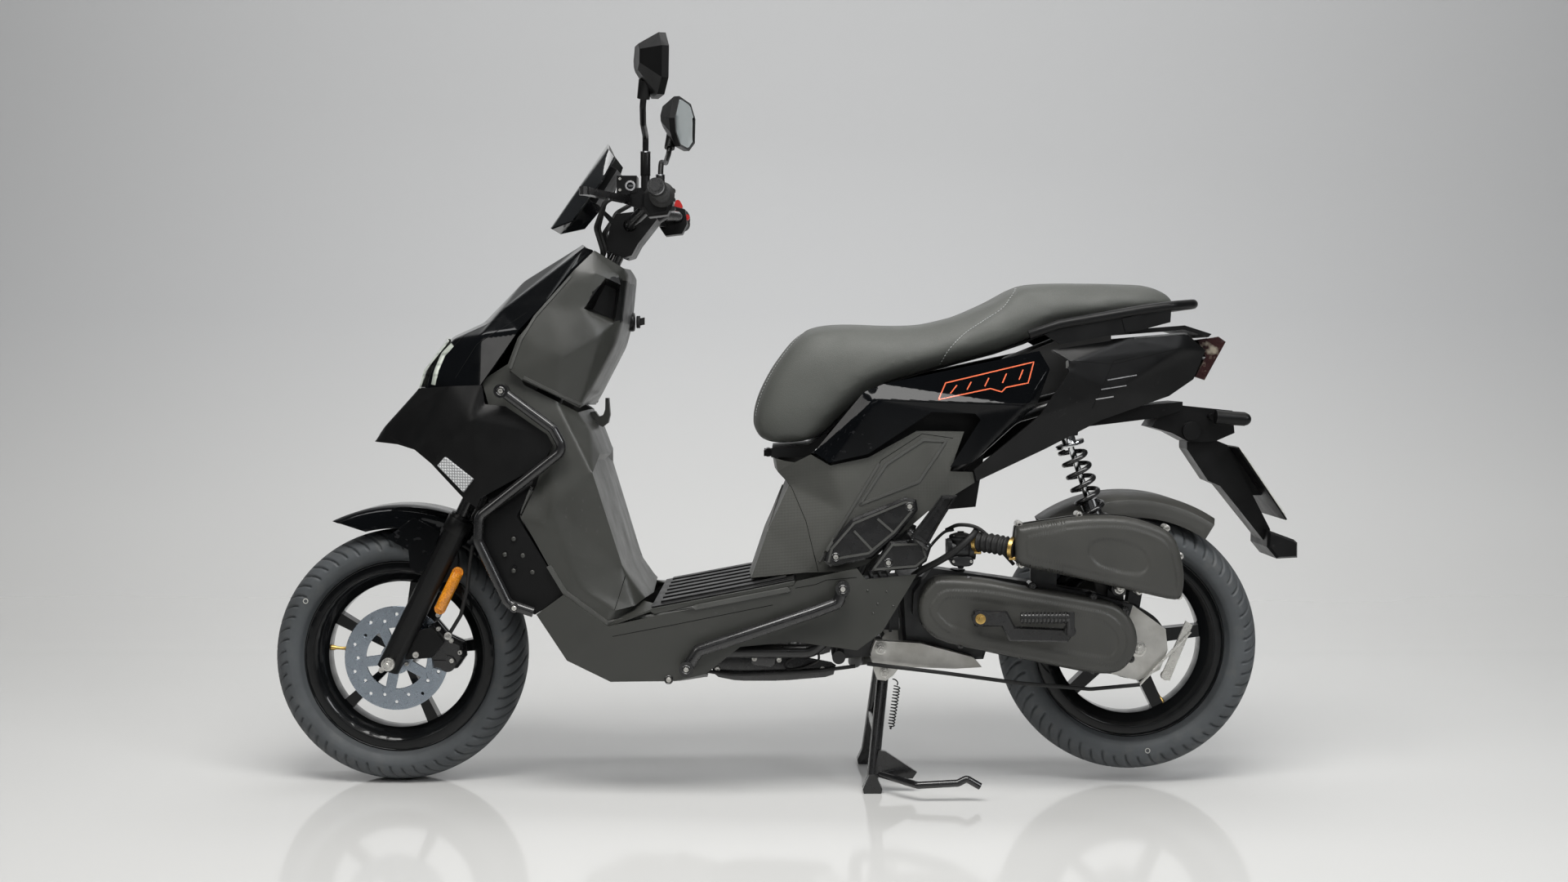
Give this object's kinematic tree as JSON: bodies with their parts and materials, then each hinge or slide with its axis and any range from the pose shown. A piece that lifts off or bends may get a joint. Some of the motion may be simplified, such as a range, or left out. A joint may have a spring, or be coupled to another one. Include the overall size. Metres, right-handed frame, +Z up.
{
  "type": "moped scooter",
  "caption": "Step-through moped scooter on its centre stand, with working steering, suspension, wheels, seat hinge, kick lever, pegs, stand and bar controls.",
  "frame": {"origin": "on the ground under the middle of the scooter's length and width", "axes": "+Z up, -X is the front, -Y the rider's left side"},
  "size_m": [1.922, 0.7856, 1.346],
  "materials": {
    "gloss_black": "high gloss piano black",
    "satin_grey": "fine moulded grain, satin dark grey",
    "matte_black": "matte black grained plastic",
    "black_metal": "semi-gloss black paint",
    "frame_metal": "satin black paint",
    "alloy": "cast alloy, satin",
    "chrome": "polished",
    "steel": "ground",
    "seat_vinyl": "grained charcoal vinyl",
    "tyre": "matte rubber",
    "rubber": "matte rubber",
    "clear_lens": "clear moulded lens",
    "red_lens": "red moulded lens",
    "amber_lens": "amber prismatic plastic",
    "smoke": "dark smoked gloss",
    "disc_steel": "ground steel with a blue tint",
    "tank": "natural moulded plastic"
  },
  "bodies": {
    "chassis": {"frame_front": "frame_metal", "frame_rear": "frame_metal", "nose_fairing": "gloss_black", "headlight_lens": "clear_lens", "leg_shield": "satin_grey", "wing_panels": "matte_black", "turn_indicators": "clear_lens", "guard_bars": "black_metal", "lower_apron": "matte_black", "footwell": "satin_grey", "floor_skirts": "satin_grey", "floor_deck": "matte_black", "under_seat_panel": "satin_grey", "footpeg_brackets": "black_metal", "side_panels": "gloss_black", "tail_panels": "matte_black", "grab_rail": "black_metal", "tail_light": "red_lens", "plate_hanger": "matte_black", "storage_box": "frame_metal", "fuel_tank": "tank", "shock_rod": "chrome"},
    "seat": {"seat_base": "matte_black", "seat_cushion": "seat_vinyl"},
    "footpeg_left": {"footpeg_left": "alloy"},
    "footpeg_right": {"footpeg_right": "alloy"},
    "ignition_key": {"ignition_key": "chrome"},
    "steering": {"steering_stem": "black_metal", "handlebar": "black_metal", "bar_controls": "matte_black", "flyscreen": "smoke", "handlebar_cover": "matte_black", "left_grip": "rubber", "control_cables": "rubber"},
    "throttle_grip": {"throttle_grip": "rubber"},
    "brake_lever_left": {"brake_lever_left": "black_metal"},
    "brake_lever_right": {"brake_lever_right": "black_metal"},
    "mirror_left": {"mirror_left": "matte_black"},
    "mirror_right": {"mirror_right": "matte_black"},
    "fork_lower": {"fork_sliders": "black_metal", "front_fender": "gloss_black", "brake_caliper": "black_metal", "front_axle": "steel", "fork_reflectors": "amber_lens"},
    "front_wheel": {"front_tyre": "tyre", "front_rim": "black_metal", "brake_disc": "disc_steel"},
    "swing_unit": {"engine_case": "alloy", "cvt_cover": "matte_black", "air_box": "matte_black", "intake": "rubber", "rear_hugger": "matte_black", "exhaust": "black_metal", "rear_brake": "steel"},
    "kick_lever": {"kick_lever": "black_metal"},
    "rear_wheel": {"rear_tyre": "tyre", "rear_rim": "black_metal"},
    "centre_stand": {"centre_stand": "black_metal"},
    "shock_lower": {"shock_body": "black_metal", "shock_spring": "black_metal"}
  },
  "joints": [
    {"name": "steering", "type": "hinge", "parent": "chassis", "child": "steering", "pos_m": [-0.42952, 0, 0.76093], "axis": [0.4384, 0, 0.8988], "range_deg": [-40, 40]},
    {"name": "front_suspension", "type": "slide", "parent": "steering", "child": "fork_lower", "axis": [0.4384, 0, 0.8988], "range_m": [0, 0.06], "stiffness_N_per_m": 8000, "springref_m": -0.06},
    {"name": "front_wheel_spin", "type": "hinge", "parent": "fork_lower", "child": "front_wheel", "pos_m": [-0.724, 0, 0.237], "axis": [0, 1, 0], "continuous": true},
    {"name": "rear_suspension", "type": "hinge", "parent": "chassis", "child": "swing_unit", "pos_m": [0.178, 0, 0.262], "axis": [0, -1, 0], "range_deg": [0, 8.5], "stiffness_Nm_per_rad": 3000, "springref_deg": -5.73},
    {"name": "rear_wheel_spin", "type": "hinge", "parent": "swing_unit", "child": "rear_wheel", "pos_m": [0.65, 0, 0.264], "axis": [0, 1, 0], "continuous": true},
    {"name": "shock_stroke", "type": "slide", "parent": "chassis", "child": "shock_lower", "axis": [-0.3143, 0, 0.9493], "range_m": [0, 0.068], "deforming": ["shock_spring"]},
    {"name": "centre_stand_fold", "type": "hinge", "parent": "swing_unit", "child": "centre_stand", "pos_m": [0.186, 0, 0.218], "axis": [0, -1, 0], "range_deg": [0, 72]},
    {"name": "kick_start", "type": "hinge", "parent": "swing_unit", "child": "kick_lever", "pos_m": [0.35, -0.19, 0.332], "axis": [0, 1, 0], "range_deg": [0, 65], "stiffness_Nm_per_rad": 1, "springref_deg": -57.3},
    {"name": "seat_hinge", "type": "hinge", "parent": "chassis", "child": "seat", "pos_m": [-0.03, 0, 0.619], "axis": [0, -1, 0], "range_deg": [0, 57]},
    {"name": "footpeg_left_fold", "type": "hinge", "parent": "chassis", "child": "footpeg_left", "pos_m": [0.24, -0.192, 0.473], "axis": [0.7507, 0, -0.6606], "range_deg": [0, 90]},
    {"name": "footpeg_right_fold", "type": "hinge", "parent": "chassis", "child": "footpeg_right", "pos_m": [0.24, 0.192, 0.473], "axis": [-0.7507, 0, 0.6606], "range_deg": [0, 90]},
    {"name": "ignition_turn", "type": "hinge", "parent": "chassis", "child": "ignition_key", "pos_m": [-0.279, 0.052, 0.868], "axis": [1, 0, 0], "range_deg": [0, 90]},
    {"name": "throttle_twist", "type": "hinge", "parent": "steering", "child": "throttle_grip", "pos_m": [-0.215, 0.284, 1.084], "axis": [0, 1, 0], "range_deg": [0, 80], "stiffness_Nm_per_rad": 0.5, "springref_deg": -17.19},
    {"name": "left_lever_squeeze", "type": "hinge", "parent": "steering", "child": "brake_lever_left", "pos_m": [-0.282, -0.187, 1.08], "axis": [0, 0, 1], "range_deg": [0, 18], "stiffness_Nm_per_rad": 2, "springref_deg": -8.59},
    {"name": "right_lever_squeeze", "type": "hinge", "parent": "steering", "child": "brake_lever_right", "pos_m": [-0.282, 0.187, 1.08], "axis": [0, 0, -1], "range_deg": [0, 18], "stiffness_Nm_per_rad": 2, "springref_deg": -8.59},
    {"name": "mirror_left_swivel", "type": "hinge", "parent": "steering", "child": "mirror_left", "pos_m": [-0.249, -0.17, 1.14], "axis": [0, 0, 1], "range_deg": [-25, 25]},
    {"name": "mirror_right_swivel", "type": "hinge", "parent": "steering", "child": "mirror_right", "pos_m": [-0.249, 0.17, 1.14], "axis": [0, 0, 1], "range_deg": [-25, 25]}
  ],
  "couplings": [
    {"joint": "shock_stroke", "follows": "rear_suspension", "m_per_rad": 0.449}
  ]
}
